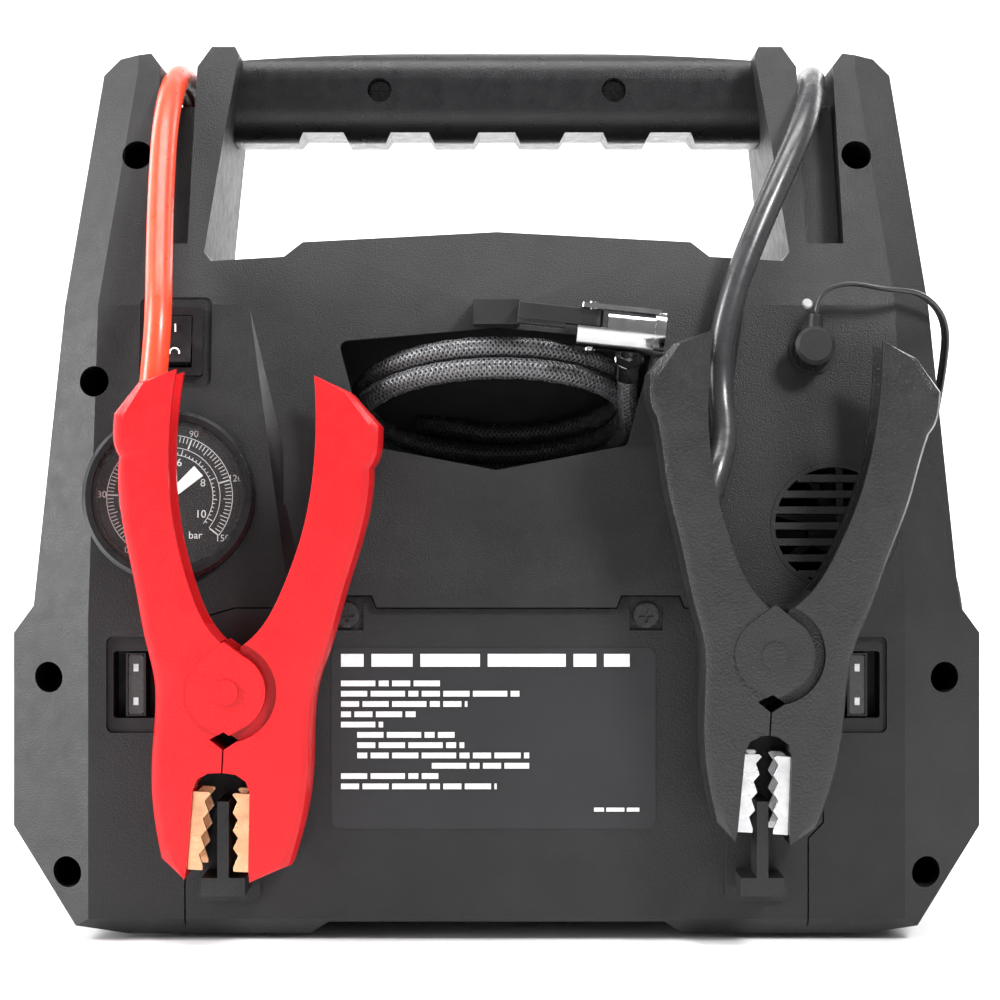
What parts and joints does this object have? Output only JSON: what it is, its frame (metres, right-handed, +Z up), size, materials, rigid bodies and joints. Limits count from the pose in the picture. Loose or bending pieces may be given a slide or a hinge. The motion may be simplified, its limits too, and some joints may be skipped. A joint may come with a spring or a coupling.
{
  "type": "jump starter pack",
  "caption": "Portable vehicle jump starter with carrying handle, jump clamps on cables, tyre inflator hose, gauge, power outlets and a removable battery cover.",
  "frame": {"origin": "centre of the footprint, on the ground under the feet", "axes": "+Z up, -Y towards the side that carries the clamps, +X to the right of a viewer who faces that side"},
  "size_m": [0.3219, 0.3078, 0.2974],
  "materials": {
    "casing_plastic": "fine textured satin black",
    "grip_plastic": "satin black",
    "screw_steel": "black zinc",
    "label_film": "satin printed film",
    "rubber": "matte",
    "gauge_black": "satin",
    "dial_card": "printed matte black",
    "needle_white": "matte white",
    "clear_lens": "clear",
    "switch_plastic": "satin",
    "hose_braid": "woven braid",
    "chrome": "polished",
    "steel": "plain",
    "lever_plastic": "satin",
    "plug_plastic": "satin",
    "lead_jacket": "satin",
    "lamp_lens": "frosted",
    "fuse_plastic": "translucent smoke",
    "red_plastic": "fine textured satin red",
    "black_clamp_plastic": "fine textured satin black",
    "copper": "stamped copper",
    "nickel": "nickel plated",
    "spring_steel": "plain",
    "red_jacket": "satin silicone",
    "black_jacket": "satin silicone",
    "panel_plastic": "gloss",
    "button_plastic": "satin grey",
    "socket_plastic": "satin",
    "battery_block": "plastic case over lead plates",
    "board": "solder resist",
    "cast_metal": "cast"
  },
  "bodies": {
    "root": {"ac_outlet": "socket_plastic", "battery": "battery_block", "battery_cover": "casing_plastic", "black_cable": "black_jacket", "blade_fuses": "fuse_plastic", "cable_glands": "rubber", "casing_screws": "screw_steel", "charge_led": "lamp_lens", "charge_plug": "plug_plastic", "charge_socket": "plug_plastic", "charger_adapter": "plug_plastic", "charger_coil": "lead_jacket", "charger_lead": "lead_jacket", "chuck_body": "chrome", "compressor_body": "cast_metal", "compressor_motor": "steel", "control_panel": "panel_plastic", "dc_socket": "socket_plastic", "fan_frame": "socket_plastic", "front_casing": "casing_plastic", "fuse_holders": "socket_plastic", "gauge_body": "gauge_black", "gauge_dial": "dial_card", "gauge_lens": "clear_lens", "handle_front": "grip_plastic", "handle_rear": "grip_plastic", "hose_coil": "hose_braid", "hose_end": "hose_braid", "hose_ferrule": "chrome", "inverter_board": "board", "rating_label": "label_film", "rear_casing": "casing_plastic", "red_cable": "red_jacket", "rubber_feet": "rubber", "switch_bezel": "switch_plastic", "usb_ports": "socket_plastic", "vent_grille": "casing_plastic", "work_light": "lamp_lens"},
    "red_clamp": {"red_clamp_left_arm": "red_plastic", "red_clamp_left_jaw": "copper", "red_clamp_pin": "screw_steel", "red_clamp_spring": "spring_steel"},
    "red_clamp_right": {"red_clamp_right_arm": "red_plastic", "red_clamp_right_jaw": "copper"},
    "black_clamp": {"black_clamp_left_arm": "black_clamp_plastic", "black_clamp_left_jaw": "nickel", "black_clamp_pin": "screw_steel", "black_clamp_spring": "spring_steel"},
    "black_clamp_right": {"black_clamp_right_arm": "black_clamp_plastic", "black_clamp_right_jaw": "nickel"},
    "gauge_needle": {"gauge_needle": "needle_white"},
    "switch_rocker": {"switch_rocker": "switch_plastic"},
    "chuck_lever": {"chuck_lever": "lever_plastic"},
    "fan_rotor": {"fan_rotor": "socket_plastic"},
    "dc_cap": {"dc_cap": "rubber"},
    "light_button": {"light_button": "button_plastic"},
    "power_button": {"power_button": "button_plastic"},
    "crank_gear": {"crank_gear": "steel"},
    "motor_pinion": {"motor_pinion": "steel"},
    "piston": {"piston": "cast_metal"}
  },
  "joints": [
    {"name": "red_clamp_pull", "type": "slide", "parent": "root", "child": "red_clamp", "axis": [0, -1, 0], "range_m": [0, 0.035], "deforming": ["red_cable"]},
    {"name": "red_clamp_open", "type": "hinge", "parent": "red_clamp", "child": "red_clamp_right", "pos_m": [-0.0843, -0.099, 0.0816], "axis": [0, -1, 0], "range_deg": [0, 22], "stiffness_Nm_per_rad": 1.5, "springref_deg": -22.92},
    {"name": "black_clamp_pull", "type": "slide", "parent": "root", "child": "black_clamp", "axis": [0, -1, 0], "range_m": [0, 0.035], "deforming": ["black_cable"]},
    {"name": "black_clamp_open", "type": "hinge", "parent": "black_clamp", "child": "black_clamp_right", "pos_m": [0.0867, -0.099, 0.0932], "axis": [0, -1, 0], "range_deg": [0, 22], "stiffness_Nm_per_rad": 1.5, "springref_deg": -22.92},
    {"name": "gauge_reading", "type": "hinge", "parent": "root", "child": "gauge_needle", "pos_m": [-0.1056, -0.07822, 0.1424], "axis": [0, 0.9889, -0.1488], "range_deg": [0, 270], "stiffness_Nm_per_rad": 0.0005},
    {"name": "switch_rock", "type": "hinge", "parent": "root", "child": "switch_rocker", "pos_m": [-0.1045, -0.06963, 0.19275], "axis": [1, 0, 0], "range_deg": [0, 16]},
    {"name": "chuck_lever_swing", "type": "hinge", "parent": "root", "child": "chuck_lever", "pos_m": [0.03055, -0.0825, 0.19679], "axis": [0.1045, 0, 0.9945], "range_deg": [0, 75]},
    {"name": "fan_spin", "type": "hinge", "parent": "root", "child": "fan_rotor", "pos_m": [0.109, -0.07964, 0.133], "axis": [0, -0.9889, 0.1488], "continuous": true},
    {"name": "dc_cap_flip", "type": "hinge", "parent": "root", "child": "dc_cap", "pos_m": [-0.062, 0.101, 0.136], "axis": [1, 0, 0], "range_deg": [0, 110]},
    {"name": "light_button_press", "type": "slide", "parent": "root", "child": "light_button", "axis": [0, -0.7894, -0.6139], "range_m": [0, 0.0012], "stiffness_N_per_m": 500},
    {"name": "power_button_press", "type": "slide", "parent": "root", "child": "power_button", "axis": [0, -0.7894, -0.6139], "range_m": [0, 0.0012], "stiffness_N_per_m": 500},
    {"name": "crank_spin", "type": "hinge", "parent": "root", "child": "crank_gear", "pos_m": [0.02, -0.022, 0.112], "axis": [0, 1, 0], "continuous": true},
    {"name": "pinion_spin", "type": "hinge", "parent": "root", "child": "motor_pinion", "pos_m": [0.0451, -0.022, 0.112], "axis": [0, 1, 0], "continuous": true},
    {"name": "piston_stroke", "type": "slide", "parent": "root", "child": "piston", "axis": [-1, 0, 0], "range_m": [0, 0.016]}
  ],
  "couplings": [
    {"joint": "pinion_spin", "follows": "crank_spin", "ratio": -4}
  ]
}
